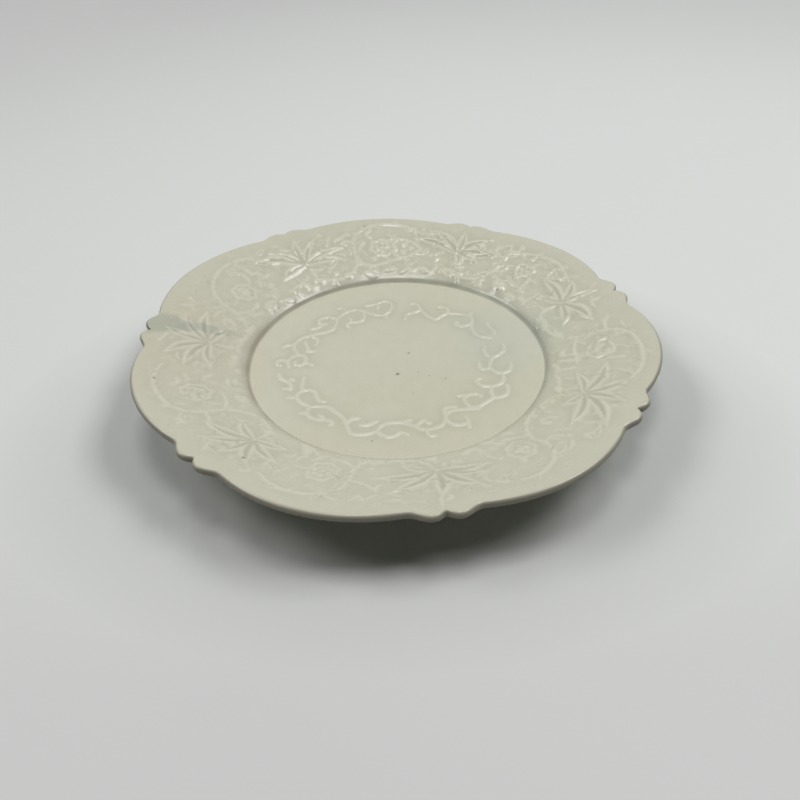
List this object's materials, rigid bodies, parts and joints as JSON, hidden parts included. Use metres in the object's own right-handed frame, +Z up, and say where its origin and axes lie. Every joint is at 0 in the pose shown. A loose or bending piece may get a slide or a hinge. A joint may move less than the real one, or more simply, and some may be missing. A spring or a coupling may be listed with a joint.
{
  "type": "lobed plate",
  "caption": "Round ceramic plate with a bracket-lobed edge, stepped flat well, low relief of leaves, flowers and scrolls, and a foot ring; it holds and serves food.",
  "frame": {"origin": "on the plate's axis, at the surface that the foot ring stands on", "axes": "+Z up along the plate's axis; -Y towards the eater, the side nearest the camera in the picture; +X to the right"},
  "size_m": [0.2389, 0.2386, 0.0306],
  "materials": {
    "glaze": "glossy pale grey-green glaze",
    "thin_glaze": "glossy glaze, thinner and paler on the relief",
    "foot": "glazed sides, bare clay tread"
  },
  "bodies": {
    "root": {"plate_body": "glaze", "foot_ring": "foot", "rim_leaf_1": "thin_glaze", "rim_leaf_2": "thin_glaze", "rim_leaf_3": "thin_glaze", "rim_leaf_4": "thin_glaze", "rim_leaf_5": "thin_glaze", "rim_leaf_6": "thin_glaze", "rim_leaf_7": "thin_glaze", "rim_vine_1": "thin_glaze", "rim_vine_2": "thin_glaze", "rim_vine_3": "thin_glaze", "rim_vine_4": "thin_glaze", "rim_vine_5": "thin_glaze", "rim_vine_6": "thin_glaze", "rim_vine_7": "thin_glaze", "rim_flower_1": "thin_glaze", "rim_flower_2": "thin_glaze", "rim_flower_3": "thin_glaze", "rim_flower_4": "thin_glaze", "rim_flower_5": "thin_glaze", "rim_flower_6": "thin_glaze", "rim_flower_7": "thin_glaze", "well_scroll_1": "thin_glaze", "well_scroll_2": "thin_glaze", "well_scroll_3": "thin_glaze", "well_scroll_4": "thin_glaze", "well_scroll_5": "thin_glaze", "well_scroll_6": "thin_glaze"}
  },
  "joints": []
}
